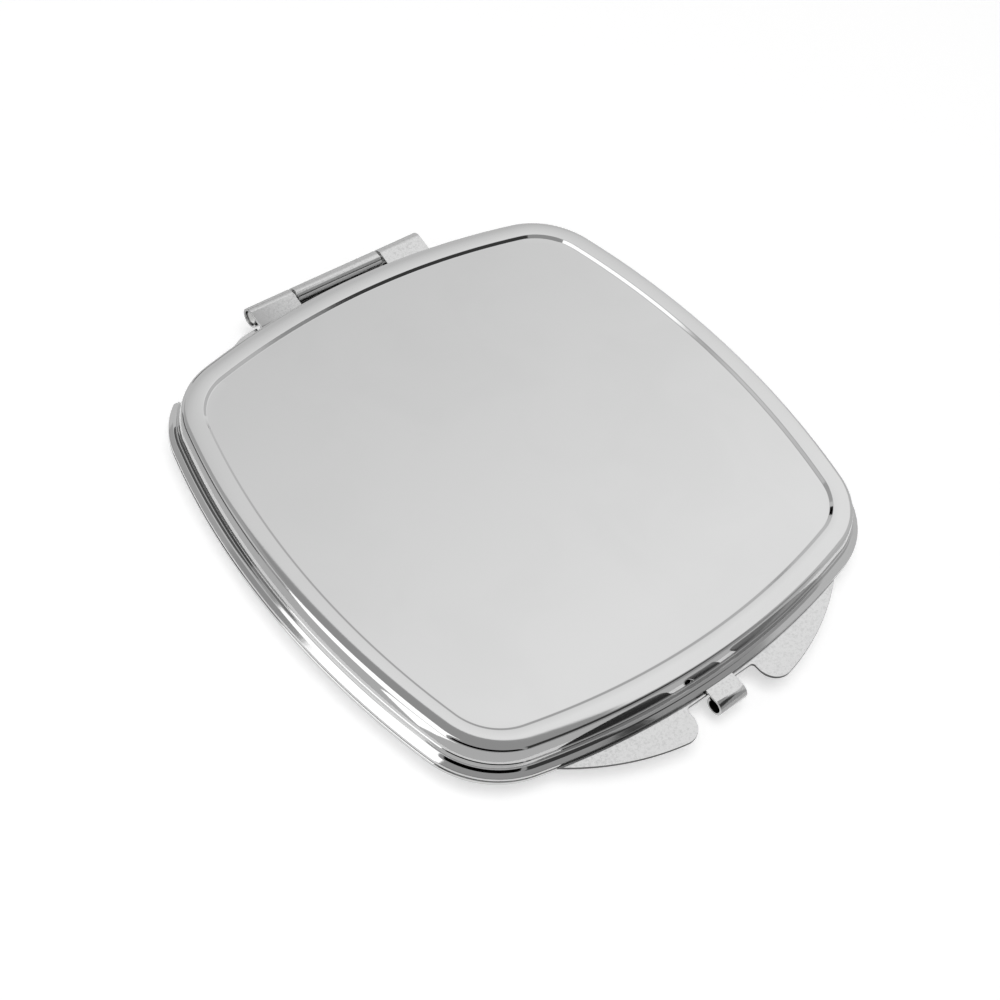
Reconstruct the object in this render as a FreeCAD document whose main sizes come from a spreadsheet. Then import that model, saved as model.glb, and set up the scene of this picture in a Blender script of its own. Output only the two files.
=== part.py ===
import FreeCAD, Part
import math
import os
import re

import Sketcher
from FreeCAD import Placement, Rotation, Vector

# Compact mirror: two pressed shells that close mouth to mouth, each with a mirror held by a plate.
# Millimetres, +Z up, hinge towards +Y, clasp towards -Y, standing on the base's rim at Z zero.
# Each half is drawn with its mouth at Z zero and its crest upwards, then put in place:
# the lid as drawn, the base turned over about Y.

SIZES = {
    # Plan of the case: a square with bowed sides and round corners
    "case_half_width": 31.0,
    "side_bow_radius": 87.3,
    "corner_radius": 9.9,
    # Stack of one half, from the mouth outwards
    "mouth_gap": 0.1,
    "plate_thickness": 0.3,
    "glass_thickness": 1.8,
    "mirror_pad_thickness": 0.62,
    "sheet_thickness": 0.3,
    "recess_depth": 0.3,
    # Folded hem round the front and the sides: upright edge, flaring lip, bead, ledge against the wall
    "lip_edge_height": 0.05,
    "lip_rise": 0.19,
    "lip_inset": 0.5,
    "bead_foot_rise": 0.28,
    "bead_foot_inset": 0.8,
    "bead_rise": 0.4,
    "bead_top_inset": 0.98,
    "hem_end_y": 26.7,
    # Wall and domed rim: insets from the plan, drops below the crest
    "wall_foot_inset": 1.0,
    "wall_top_inset": 1.34,
    "wall_top_drop": 0.33,
    "shoulder_inset": 1.6,
    "shoulder_drop": 0.14,
    "crest_outer_inset": 2.4,
    "crest_inner_inset": 2.85,
    "inner_slope_inset": 3.35,
    "inner_slope_drop": 0.1,
    "recess_inset": 3.76,
    "rim_hollow_height": 0.15,
    # Plates and what they hold
    "plate_setback": 0.12,
    "window_inset": 4.2,
    "glass_clearance": 0.25,
    "mirror_pad_margin": 0.3,
    # Hinge
    "pin_diameter": 1.6,
    "pin_clearance": 0.05,
    "pin_end_recess": 0.15,
    "pin_end_round": 0.25,
    "barrel_clearance": 0.4,
    "hinge_rise": 0.45,
    "knuckle_gap": 0.1,
    "centre_knuckle_length": 11.6,
    "outer_knuckle_length": 5.7,
    "leaf_shoulder_width": 2.2,
    "leaf_shoulder_drop": 0.2,
    "leaf_shoulder_round": 4.0,
    "leaf_flare": 5.7,
    "leaf_root_depth": 1.9,
    "leaf_foot_depth": 4.2,
    # Thumb ears and the notch between them
    "notch_width": 9.2,
    "notch_overhang": 0.3,
    "notch_corner_round": 0.4,
    "ear_overhang": 3.2,
    "ear_half_span": 19.3,
    "ear_root_depth": 2.3,
    "ear_lobe_radius": 2.0,
    "ear_edge_radius": 29.0,
    # Rolled clasp
    "clasp_width": 3.6,
    "clasp_roll_radius": 1.0,
    "clasp_clearance": 0.2,
    "clasp_root_depth": 2.0,
    "clasp_end_height_share": 0.5,
}

# Heights and insets that follow from the sizes above
FLOOR_INSIDE = "plate_thickness + glass_thickness + mirror_pad_thickness"
FLOOR_OUTSIDE = f"{FLOOR_INSIDE} + sheet_thickness"
HALF_HEIGHT = f"{FLOOR_OUTSIDE} + recess_depth"
LIP_EDGE_TOP = "plate_thickness + lip_edge_height"
LIP_TOP = f"{LIP_EDGE_TOP} + lip_rise"
BEAD_FOOT = f"{LIP_TOP} + bead_foot_rise"
BEAD_TOP = f"{BEAD_FOOT} + bead_rise"
WALL_INSIDE_INSET = "wall_top_inset + sheet_thickness"
KNUCKLE_BORE = "pin_diameter / 2 + pin_clearance"
KNUCKLE_RADIUS = f"({KNUCKLE_BORE} + plate_thickness)"
HINGE_AXIS_Y = f"(case_half_width + barrel_clearance + {KNUCKLE_RADIUS})"
# The axis lies above the middle of the mouth, so it is seen from each half at another height
LID_AXIS_Z = "(hinge_rise - mouth_gap / 2)"
BASE_AXIS_Z = "(-hinge_rise - mouth_gap / 2)"
HINGE_HALF_LENGTH = "(centre_knuckle_length / 2 + knuckle_gap + outer_knuckle_length)"
NOTCH_Y = "(-case_half_width - notch_overhang)"
EAR_ROOT_Y = "(-case_half_width + ear_root_depth)"
LEAF_ROOT_Y = "(case_half_width - leaf_root_depth)"
LEAF_FOOT_Y = "(case_half_width - leaf_foot_depth)"
LEAF_SHOULDER_X = f"({HINGE_HALF_LENGTH} + leaf_shoulder_width)"
LEAF_SHOULDER_Y = "(case_half_width - leaf_shoulder_drop)"
CLASP_AXIS_Y = f"({NOTCH_Y} - clasp_clearance - clasp_roll_radius)"
CLASP_AXIS_Z = "(plate_thickness - clasp_roll_radius)"
# Moves the case so that the frame's origin is midway between the ears and the hinge
CASE_SHIFT_Y = f"(case_half_width + ear_overhang - {HINGE_AXIS_Y} - {KNUCKLE_RADIUS}) / 2"

# How a sketch numbers an edge's points and its own two axes
START, END, CENTRE = range(1, 4)
X_AXIS, Y_AXIS = range(-1, -3, -1)
ORIGIN = (X_AXIS, START)
MATCH = 1e-4

doc = FreeCAD.newDocument("CompactMirror")
sheet = doc.addObject("Spreadsheet::Sheet", "Sizes")
for row, (alias, size) in enumerate(SIZES.items(), start=1):
    sheet.set(f"A{row}", alias)
    sheet.set(f"B{row}", str(size))
    sheet.setAlias(f"B{row}", alias)
doc.recompute()


def bound(formula):
    """The formula with each size's name pointing into the sheet."""
    return re.sub(r"[a-z]\w*", lambda word: f"Sizes.{word[0]}" if word[0] in SIZES else word[0], formula)


def number(formula):
    """What the formula comes to with the sheet's sizes."""
    return float(sheet.evalExpression(formula))


def new_body(label, turned_over=False):
    """A body whose own frame has the half's mouth at Z zero, put where that half goes."""
    body = doc.addObject("PartDesign::Body", label)
    body.Label = label
    mouth = HALF_HEIGHT if turned_over else f"{HALF_HEIGHT} + mouth_gap"
    turn = Rotation(Vector(0, 1, 0), 180) if turned_over else Rotation()
    body.Placement = Placement(Vector(0, number(CASE_SHIFT_Y), number(mouth)), turn)
    body.setExpression("Placement.Base.y", bound(CASE_SHIFT_Y))
    body.setExpression("Placement.Base.z", bound(mouth))
    return body


def new_sketch(body, name, plane="XY_Plane", offset="0"):
    """A sketch on one of the body's origin planes, moved along that plane's normal."""
    sketch = body.newObject("Sketcher::SketchObject", f"{body.Name}_{name}_sketch")
    support = next(item for item in body.Origin.OriginFeatures if item.Role == plane)
    sketch.AttachmentSupport = [(support, "")]
    sketch.MapMode = "FlatFace"
    sketch.setExpression("AttachmentOffset.Base.z", bound(offset))
    return sketch


def measure(sketch, kind, *where, formula):
    """Adds a dimension to the sketch and ties it to the sheet."""
    index = sketch.addConstraint(Sketcher.Constraint(kind, *where, number(formula)))
    sketch.setExpression(f"Constraints[{index}]", bound(formula))


def place_point(sketch, geometry, point, across, along):
    """Dimensions one point of the sketch from its origin."""
    measure(sketch, "DistanceX", *ORIGIN, geometry, point, formula=across)
    measure(sketch, "DistanceY", *ORIGIN, geometry, point, formula=along)


def arc(centre, radius, first, last):
    """Arc between two angles, in radians."""
    return Part.ArcOfCircle(Part.Circle(centre, Vector(0, 0, 1), radius), first, last)


def draw_outline(sketch, inset):
    """Draws the case's plan, moved inwards by the inset: four bowed sides and four corners."""
    reach = number("side_bow_radius - case_half_width")
    between = number("side_bow_radius - corner_radius")
    corner = (math.sqrt(2 * between**2 - reach**2) - reach) / 2
    half_turn = math.atan2(corner, corner + reach)
    side_radius = f"side_bow_radius - ({inset})"
    corner_radius = f"corner_radius - ({inset})"
    edges = []
    for quarter in range(4):
        facing = quarter * math.pi / 2
        outward = Vector(math.cos(facing), math.sin(facing), 0)
        sideways = Vector(-math.sin(facing), math.cos(facing), 0)
        side = arc(outward * -reach, number(side_radius), facing - half_turn, facing + half_turn)
        turn_end = facing + math.pi / 2 - half_turn
        bend = arc((outward + sideways) * corner, number(corner_radius), facing + half_turn, turn_end)
        edges += sketch.addGeometry([side, bend])
    for edge, following in zip(edges, edges[1:] + edges[:1]):
        sketch.addConstraint(Sketcher.Constraint("Tangent", edge, END, following, START))
    for quarter, side in enumerate(edges[::2]):
        sign = "-" if quarter < 2 else ""
        distance = f"{sign}(side_bow_radius - case_half_width)"
        axis, kind = (X_AXIS, "DistanceX") if quarter % 2 == 0 else (Y_AXIS, "DistanceY")
        sketch.addConstraint(Sketcher.Constraint("PointOnObject", side, CENTRE, axis))
        measure(sketch, kind, *ORIGIN, side, CENTRE, formula=distance)
        measure(sketch, "Radius", side, formula=side_radius)
    for bend in edges[1::2]:
        measure(sketch, "Radius", bend, formula=corner_radius)


def draw_polygon(sketch, corners):
    """Draws a closed polygon whose corners are pairs of formulas."""
    points = [Vector(number(across), number(along), 0) for across, along in corners]
    lines = [
        sketch.addGeometry(Part.LineSegment(point, following))
        for point, following in zip(points, points[1:] + points[:1])
    ]
    for line, following in zip(lines, lines[1:] + lines[:1]):
        sketch.addConstraint(Sketcher.Constraint("Coincident", line, END, following, START))
    for line, (across, along) in zip(lines, corners):
        place_point(sketch, line, START, across, along)


def draw_circle(sketch, across, along, radius):
    """Draws a circle from formulas."""
    centre = Vector(number(across), number(along), 0)
    circle = sketch.addGeometry(Part.Circle(centre, Vector(0, 0, 1), number(radius)))
    place_point(sketch, circle, CENTRE, across, along)
    measure(sketch, "Radius", circle, formula=radius)


def add_pad(body, sketch, length, symmetric=False):
    """Pads the sketch along its normal, or to both sides of it."""
    pad = body.newObject("PartDesign::Pad", sketch.Name.replace("sketch", "pad"))
    pad.Profile = sketch
    pad.SideType = "Symmetric" if symmetric else "One side"
    pad.setExpression("Length", bound(length))
    sketch.Visibility = False
    doc.recompute()
    return pad


def add_pocket(body, sketch, length, upwards=False):
    """Cuts the sketch out of the body, against its normal unless upwards, and checks that it cut."""
    before = body.Shape.Volume
    pocket = body.newObject("PartDesign::Pocket", sketch.Name.replace("sketch", "pocket"))
    pocket.Profile = sketch
    pocket.Reversed = upwards
    pocket.setExpression("Length", bound(length))
    sketch.Visibility = False
    doc.recompute()
    if body.Shape.Volume > before - MATCH:
        raise RuntimeError(f"{pocket.Name} cut nothing")
    return pocket


def add_fillet(body, name, radius, chosen):
    """Rounds the edges of the body's tip for which chosen is true."""
    tip = body.Tip
    names = [f"Edge{count}" for count, edge in enumerate(tip.Shape.Edges, start=1) if chosen(edge)]
    if not names:
        raise RuntimeError(f"{body.Name} has no edge for its {name}")
    fillet = body.newObject("PartDesign::Fillet", f"{body.Name}_{name}")
    fillet.Base = (tip, names)
    fillet.setExpression("Radius", bound(radius))
    doc.recompute()


def corner_edge(across, along):
    """A test for a plate's upright edges at one corner of its plan, on both sides of X zero."""
    corner_x, corner_y = number(across), number(along)

    def chosen(edge):
        middle = edge.CenterOfMass
        upright = edge.BoundBox.ZLength > number("plate_thickness") - MATCH
        return upright and abs(abs(middle.x) - corner_x) < MATCH and abs(middle.y - corner_y) < MATCH

    return chosen


def add_loft(body, name, stations, cut=False):
    """Adds, or cuts, straight tiers between outlines given as pairs of inset and height."""
    sketches = []
    for count, (inset, height) in enumerate(stations, start=1):
        sketch = new_sketch(body, f"{name}_{count}", offset=height)
        draw_outline(sketch, inset)
        sketch.Visibility = False
        sketches.append(sketch)
    kind = "SubtractiveLoft" if cut else "AdditiveLoft"
    loft = body.newObject(f"PartDesign::{kind}", f"{body.Name}_{name}_loft")
    loft.Profile = sketches[0]
    loft.Sections = sketches[1:]
    loft.Ruled = True
    doc.recompute()


def cut_hinge_side(body, bottom, height):
    """Cuts away what has been drawn so far on the hinge's side, over one height."""
    sketch = new_sketch(body, "hinge_side", offset=bottom)
    draw_polygon(sketch, [
        ("-case_half_width - barrel_clearance", "hem_end_y"),
        ("case_half_width + barrel_clearance", "hem_end_y"),
        ("case_half_width + barrel_clearance", "case_half_width + barrel_clearance"),
        ("-case_half_width - barrel_clearance", "case_half_width + barrel_clearance"),
    ])
    add_pocket(body, sketch, height, upwards=True)


def make_shell(label, turned_over):
    """Pressed shell: plain wall, domed rim and recessed field, with a folded hem except on the hinge's side."""
    body = new_body(label, turned_over)
    add_loft(body, "hem", [
        ("0", "plate_thickness"),
        ("0", LIP_EDGE_TOP),
        ("lip_inset", LIP_TOP),
        ("bead_foot_inset", BEAD_FOOT),
        ("bead_top_inset", BEAD_TOP),
    ])
    cut_hinge_side(body, "plate_thickness", BEAD_TOP)
    add_loft(body, "rim", [
        ("wall_foot_inset", "plate_thickness"),
        ("wall_top_inset", f"{HALF_HEIGHT} - wall_top_drop"),
        ("shoulder_inset", f"{HALF_HEIGHT} - shoulder_drop"),
        ("crest_outer_inset", HALF_HEIGHT),
    ])
    add_loft(body, "recess", [
        ("recess_inset", FLOOR_OUTSIDE),
        ("inner_slope_inset", f"{HALF_HEIGHT} - inner_slope_drop"),
        ("crest_inner_inset", HALF_HEIGHT),
    ], cut=True)
    add_loft(body, "hollow", [
        ("wall_foot_inset + sheet_thickness", "plate_thickness"),
        (WALL_INSIDE_INSET, FLOOR_INSIDE),
    ], cut=True)
    sketch = new_sketch(body, "rim_hollow", offset=FLOOR_INSIDE)
    draw_outline(sketch, WALL_INSIDE_INSET)
    draw_outline(sketch, "inner_slope_inset")
    add_pocket(body, sketch, "rim_hollow_height", upwards=True)
    return body


def make_sheet(label, turned_over, inset, bottom, thickness):
    """A flat piece with the case's plan, such as a mirror or its pad."""
    body = new_body(label, turned_over)
    sketch = new_sketch(body, "plan", offset=bottom)
    draw_outline(sketch, inset)
    add_pad(body, sketch, thickness)
    return body


def start_frame(label, turned_over):
    """The plate ring that lies under a shell's hem and over the mirror's edge."""
    body = new_body(label, turned_over)
    sketch = new_sketch(body, "hem_ring")
    draw_outline(sketch, "plate_setback")
    add_pad(body, sketch, "plate_thickness")
    cut_hinge_side(body, "0", "plate_thickness")
    sketch = new_sketch(body, "wall_ring")
    draw_outline(sketch, "wall_foot_inset")
    add_pad(body, sketch, "plate_thickness")
    sketch = new_sketch(body, "window", offset="plate_thickness")
    draw_outline(sketch, "window_inset")
    add_pocket(body, sketch, "plate_thickness")
    return body


def add_knuckle(body, name, axis_z, near_end, length):
    """A rolled barrel on the hinge axis, from its near end along X."""
    sketch = new_sketch(body, name, plane="YZ_Plane", offset=near_end)
    draw_circle(sketch, HINGE_AXIS_Y, axis_z, KNUCKLE_RADIUS)
    add_pad(body, sketch, length)


def bore_knuckles(body, axis_z):
    """Cuts the pin's bore through all the barrels of a plate."""
    far_end = HINGE_HALF_LENGTH
    sketch = new_sketch(body, "bore", plane="YZ_Plane", offset=far_end)
    draw_circle(sketch, HINGE_AXIS_Y, axis_z, KNUCKLE_BORE)
    add_pocket(body, sketch, f"2 * {far_end}")


def draw_ears(sketch):
    """Draws the front tab: two thumb ears, each a long edge arc and a round lobe, with a notch between them."""
    lobe_y = number("-case_half_width - ear_overhang + ear_lobe_radius")
    lobe_x = number("notch_width / 2 + ear_lobe_radius")
    lobe_radius = number("ear_lobe_radius")
    edge_radius = number("ear_edge_radius")
    inner_x = number("notch_width / 2")
    foot = Vector(number("ear_half_span"), number(EAR_ROOT_Y), 0)
    lobe = Vector(lobe_x, lobe_y, 0)
    # The edge arc passes through the foot and holds the lobe inside it
    across = foot - lobe
    reach = edge_radius - lobe_radius
    cosine = (across.Length**2 + reach**2 - edge_radius**2) / (2 * across.Length * reach)
    bearing = math.atan2(across.y, across.x) + math.acos(cosine)
    edge_centre = lobe + Vector(math.cos(bearing), math.sin(bearing), 0) * reach
    touch = bearing - math.pi
    foot_angle = math.atan2(foot.y - edge_centre.y, foot.x - edge_centre.x)
    notch_y = number(NOTCH_Y)

    def mirrored(point):
        return Vector(-point.x, point.y, 0)

    corner = Vector(inner_x, notch_y, 0)
    shoulder = Vector(inner_x, lobe_y, 0)
    edges = sketch.addGeometry([
        Part.LineSegment(mirrored(foot), foot),
        arc(edge_centre, edge_radius, touch, foot_angle),
        arc(lobe, lobe_radius, -math.pi, touch),
        Part.LineSegment(shoulder, corner),
        Part.LineSegment(corner, mirrored(corner)),
        Part.LineSegment(mirrored(corner), mirrored(shoulder)),
        arc(mirrored(lobe), lobe_radius, -math.pi - touch, 0),
        arc(mirrored(edge_centre), edge_radius, -math.pi - foot_angle, -math.pi - touch),
    ])
    root, edge, lobe_arc, inner, notch, far_inner, far_lobe, far_edge = edges
    joints = [
        ("Coincident", root, END, edge, END),
        ("Tangent", edge, START, lobe_arc, END),
        ("Tangent", lobe_arc, START, inner, START),
        ("Coincident", inner, END, notch, START),
        ("Coincident", notch, END, far_inner, START),
        ("Tangent", far_inner, END, far_lobe, END),
        ("Tangent", far_lobe, START, far_edge, END),
        ("Coincident", far_edge, START, root, START),
        ("Vertical", inner),
        ("Vertical", far_inner),
    ]
    for joint in joints:
        sketch.addConstraint(Sketcher.Constraint(*joint))
    place_point(sketch, root, START, "-ear_half_span", EAR_ROOT_Y)
    place_point(sketch, root, END, "ear_half_span", EAR_ROOT_Y)
    place_point(sketch, notch, START, "notch_width / 2", NOTCH_Y)
    place_point(sketch, notch, END, "-notch_width / 2", NOTCH_Y)
    for lobe_edge, edge_edge in ((lobe_arc, edge), (far_lobe, far_edge)):
        measure(sketch, "Radius", lobe_edge, formula="ear_lobe_radius")
        measure(sketch, "Radius", edge_edge, formula="ear_edge_radius")
        lobe_height = "-case_half_width - ear_overhang + ear_lobe_radius"
        measure(sketch, "DistanceY", *ORIGIN, lobe_edge, CENTRE, formula=lobe_height)


def make_base_frame():
    """Plate of the base: thumb ears in front, the centre knuckle behind."""
    body = start_frame("base_frame", turned_over=True)
    sketch = new_sketch(body, "ears")
    draw_ears(sketch)
    add_pad(body, sketch, "plate_thickness")
    add_fillet(body, "notch_fillet", "notch_corner_round", corner_edge("notch_width / 2", NOTCH_Y))
    half_length = "centre_knuckle_length / 2"
    sketch = new_sketch(body, "leaf")
    draw_polygon(sketch, [
        (f"-{half_length}", LEAF_FOOT_Y),
        (half_length, LEAF_FOOT_Y),
        (half_length, HINGE_AXIS_Y),
        (f"-{half_length}", HINGE_AXIS_Y),
    ])
    add_pad(body, sketch, "plate_thickness")
    add_knuckle(body, "knuckle", BASE_AXIS_Z, f"-{half_length}", "centre_knuckle_length")
    bore_knuckles(body, BASE_AXIS_Z)
    return body


def draw_clasp(sketch):
    """Draws the clasp's section: a strip that rolls forwards and down round the clasp's axis."""
    axis = Vector(number(CLASP_AXIS_Y), number(CLASP_AXIS_Z), 0)
    outside = number("clasp_roll_radius")
    inside = number("clasp_roll_radius - plate_thickness")
    end_rise = number("clasp_roll_radius * clasp_end_height_share")
    end_angle = 2 * math.pi + math.asin(end_rise / outside)
    toward_end = Vector(math.cos(end_angle), math.sin(end_angle), 0)
    top = number("plate_thickness")
    root = number("-case_half_width + clasp_root_depth")
    edges = sketch.addGeometry([
        Part.LineSegment(Vector(root, top, 0), Vector(axis.x, top, 0)),
        arc(axis, outside, math.pi / 2, end_angle),
        Part.LineSegment(axis + toward_end * outside, axis + toward_end * inside),
        arc(axis, inside, math.pi / 2, end_angle),
        Part.LineSegment(Vector(axis.x, 0, 0), Vector(root, 0, 0)),
        Part.LineSegment(Vector(root, 0, 0), Vector(root, top, 0)),
    ])
    strip, roll, cap, inner_roll, underside, back = edges
    joints = [
        ("Tangent", strip, END, roll, START),
        ("Coincident", roll, END, cap, START),
        ("Coincident", cap, END, inner_roll, END),
        ("Tangent", inner_roll, START, underside, START),
        ("Coincident", underside, END, back, START),
        ("Coincident", back, END, strip, START),
        ("Coincident", roll, CENTRE, inner_roll, CENTRE),
        ("PointOnObject", roll, CENTRE, cap),
    ]
    for joint in joints:
        sketch.addConstraint(Sketcher.Constraint(*joint))
    place_point(sketch, back, START, "-case_half_width + clasp_root_depth", "0")
    place_point(sketch, back, END, "-case_half_width + clasp_root_depth", "plate_thickness")
    place_point(sketch, roll, CENTRE, CLASP_AXIS_Y, CLASP_AXIS_Z)
    measure(sketch, "Radius", inner_roll, formula="clasp_roll_radius - plate_thickness")
    end_height = f"{CLASP_AXIS_Z} + clasp_roll_radius * clasp_end_height_share"
    measure(sketch, "DistanceY", *ORIGIN, cap, START, formula=end_height)
    measure(sketch, "Radius", roll, formula="clasp_roll_radius")


def make_lid_frame():
    """Plate of the lid: the rolled clasp in front, two flared leaves with the outer knuckles behind."""
    body = start_frame("lid_frame", turned_over=False)
    sketch = new_sketch(body, "clasp", plane="YZ_Plane")
    draw_clasp(sketch)
    add_pad(body, sketch, "clasp_width", symmetric=True)
    inner_end = "(centre_knuckle_length / 2 + knuckle_gap)"
    for name, sign, near_end in (("left", "-", f"-{HINGE_HALF_LENGTH}"), ("right", "", inner_end)):
        sketch = new_sketch(body, f"{name}_leaf")
        draw_polygon(sketch, [
            (f"{sign}{inner_end}", LEAF_FOOT_Y),
            (f"{sign}{inner_end}", HINGE_AXIS_Y),
            (f"{sign}{HINGE_HALF_LENGTH}", HINGE_AXIS_Y),
            (f"{sign}{HINGE_HALF_LENGTH}", "case_half_width + barrel_clearance"),
            (f"{sign}{LEAF_SHOULDER_X}", LEAF_SHOULDER_Y),
            (f"{sign}({HINGE_HALF_LENGTH} + leaf_flare)", LEAF_ROOT_Y),
            (f"{sign}({HINGE_HALF_LENGTH} + leaf_flare)", LEAF_FOOT_Y),
        ])
        add_pad(body, sketch, "plate_thickness")
        add_knuckle(body, f"{name}_knuckle", LID_AXIS_Z, near_end, "outer_knuckle_length")
    add_fillet(body, "leaf_fillet", "leaf_shoulder_round", corner_edge(LEAF_SHOULDER_X, LEAF_SHOULDER_Y))
    bore_knuckles(body, LID_AXIS_Z)
    return body


def make_hinge_pin():
    """Wire pin through the three knuckles, a little short of their ends."""
    body = new_body("hinge_pin", turned_over=True)
    sketch = new_sketch(body, "section", plane="YZ_Plane")
    draw_circle(sketch, HINGE_AXIS_Y, BASE_AXIS_Z, "pin_diameter / 2")
    add_pad(body, sketch, f"2 * ({HINGE_HALF_LENGTH} - pin_end_recess)", symmetric=True)
    add_fillet(body, "end_fillet", "pin_end_round", lambda edge: isinstance(edge.Curve, Part.Circle))
    return body


GLASS_INSET = f"{WALL_INSIDE_INSET} + glass_clearance"
MIRROR_PAD_INSET = "recess_inset + mirror_pad_margin"
MIRROR_PAD_BOTTOM = "plate_thickness + glass_thickness"

bodies = [make_lid_frame(), make_base_frame(), make_hinge_pin()]
for half, turned_over in (("lid", False), ("base", True)):
    bodies.append(make_shell(f"{half}_shell", turned_over))
    bodies.append(make_sheet(f"{half}_mirror", turned_over, GLASS_INSET, "plate_thickness", "glass_thickness"))
    bodies.append(make_sheet(f"{half}_mirror_pad", turned_over, MIRROR_PAD_INSET, MIRROR_PAD_BOTTOM,
                             "mirror_pad_thickness"))
doc.recompute()

for item in doc.Objects:
    if {"Invalid", "Error"} & set(item.State):
        raise RuntimeError(f"{item.Name} failed: {item.State}")
    if item.isDerivedFrom("Sketcher::SketchObject") and not item.FullyConstrained:
        raise RuntimeError(f"{item.Name} isn't fully constrained")

for body in bodies:
    shape = body.Shape
    if shape.isNull() or not shape.isValid() or len(shape.Solids) != 1:
        raise RuntimeError(f"{body.Label} isn't one valid solid")

os.makedirs("parts", exist_ok=True)
for body in bodies:
    body.Shape.exportStep(f"parts/{body.Label}.step")
    box = body.Shape.optimalBoundingBox()
    print(f"{body.Label}: {body.Shape.Volume:.2f} mm3, "
          f"X {box.XMin:.2f} to {box.XMax:.2f}, Y {box.YMin:.2f} to {box.YMax:.2f}, "
          f"Z {box.ZMin:.2f} to {box.ZMax:.2f}")
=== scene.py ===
"""Dresses a pocket compact mirror: a pressed chrome case, satin hinge plates, a wire pin and two mirrors.

The case is drawn one half at a time, in millimetres, with the half's mouth at height zero, its crest
upwards, the hinge towards +Y and the clasp towards -Y. A half is then set in place: the lid as drawn,
the base turned over.
"""

from __future__ import annotations

import logging
import math
from dataclasses import dataclass
from enum import Enum
from typing import Iterable, Sequence

import bmesh
import bpy
from bmesh.types import BMesh
from bpy.types import ID, Material, Node, NodeSocket, NodeTree, Object
from mathutils import Matrix, Vector

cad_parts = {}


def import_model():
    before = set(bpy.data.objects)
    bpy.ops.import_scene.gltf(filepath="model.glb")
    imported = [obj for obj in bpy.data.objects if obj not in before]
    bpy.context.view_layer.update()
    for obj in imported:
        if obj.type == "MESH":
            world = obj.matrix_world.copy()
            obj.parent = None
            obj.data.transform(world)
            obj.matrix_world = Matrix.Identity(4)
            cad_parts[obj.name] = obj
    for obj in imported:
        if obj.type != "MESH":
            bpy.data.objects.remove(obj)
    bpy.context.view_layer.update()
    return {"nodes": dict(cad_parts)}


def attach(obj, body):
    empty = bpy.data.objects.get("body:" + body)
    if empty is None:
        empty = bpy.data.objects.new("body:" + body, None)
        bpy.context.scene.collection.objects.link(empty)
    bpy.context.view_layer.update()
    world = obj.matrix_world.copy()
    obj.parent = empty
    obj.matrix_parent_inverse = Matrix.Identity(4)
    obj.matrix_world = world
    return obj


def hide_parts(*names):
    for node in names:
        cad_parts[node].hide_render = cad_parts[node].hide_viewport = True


LOG = logging.getLogger("compact_mirror")
MM = 0.001
NEARLY_ZERO = 1e-6
QUAD = ((0, 1, 2, 3),)
SHARP_ANGLE = math.radians(32)

Point = tuple[float, float]
Triple = tuple[float, float, float]


class Half(Enum):
    """The two halves of the case, each named as its body."""

    LID = "lid"
    BASE = "base"


def bearing(angle: float) -> Vector:
    """The way that an angle points."""
    return Vector((math.cos(angle), math.sin(angle)))


@dataclass(frozen=True)
class Station:
    """A place on the case's outline: the arc it lies on and the way it faces."""

    centre: Vector
    radius: float
    facing: Vector

    def at(self, inset: float) -> Point:
        """The point that lies this far inside the outline."""
        spot = self.centre + self.facing * (self.radius - inset)
        return spot.x, spot.y


@dataclass(frozen=True)
class CasePlan:
    """The outline of the case and how its two halves stand on each other."""

    half_width: float = 31.0
    bow_radius: float = 87.3
    corner_radius: float = 9.9
    half_height: float = 3.32
    mouth_gap: float = 0.1
    shift: float = 0.25
    hem_end_y: float = 26.7
    wall_foot: float = 1.0

    def stations(self, side_steps: int = 28, corner_steps: int = 22) -> list[Station]:
        """Walks once round the outline, from the right side towards the hinge.

        Args:
            side_steps: Even number of steps along one bowed side.
            corner_steps: Number of steps round one corner.

        Returns:
            The stations in order, with one at the middle of each side.
        """
        reach = self.bow_radius - self.half_width
        between = self.bow_radius - self.corner_radius
        corner = (math.sqrt(2 * between**2 - reach**2) - reach) / 2
        half_turn = math.atan2(corner, corner + reach)
        found = []
        for quarter in range(4):
            ahead = quarter * math.pi / 2
            outward = bearing(ahead)
            sideways = Vector((-math.sin(ahead), math.cos(ahead)))
            for step in range(side_steps):
                angle = ahead - half_turn + 2 * half_turn * step / side_steps
                found.append(Station(outward * -reach, self.bow_radius, bearing(angle)))
            for step in range(corner_steps):
                angle = ahead + half_turn + (math.pi / 2 - 2 * half_turn) * step / corner_steps
                found.append(Station((outward + sideways) * corner, self.corner_radius, bearing(angle)))
        return found

    def edge_y(self, across: float, inset: float) -> float:
        """How far the hinge side's outline lies from the middle at one place across it."""
        radius = self.bow_radius - inset
        return math.sqrt(radius**2 - across**2) - (self.bow_radius - self.half_width)

    def place(self, half: Half) -> Matrix:
        """The move from a half's own millimetres to its place in the frame, in metres.

        Args:
            half: The half to set in place.

        Returns:
            The move.
        """
        scale = Matrix.Scale(MM, 4)
        if half is Half.LID:
            return scale @ Matrix.Translation((0.0, self.shift, self.half_height + self.mouth_gap))
        lift = Matrix.Translation((0.0, self.shift, self.half_height))
        return scale @ (lift @ Matrix.Rotation(math.pi, 4, "Y"))


def arc_points(centre: Iterable[float], radius: float, first: float, last: float, steps: int) -> list[Point]:
    """Points along an arc, both ends included.

    Args:
        centre: Centre of the arc.
        radius: Radius of the arc.
        first: Angle at which it starts, in radians.
        last: Angle at which it ends.
        steps: Number of steps between the two.

    Returns:
        The points in order.
    """
    across, up = centre
    angles = [first + (last - first) * step / steps for step in range(steps + 1)]
    return [(across + radius * math.cos(angle), up + radius * math.sin(angle)) for angle in angles]


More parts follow.
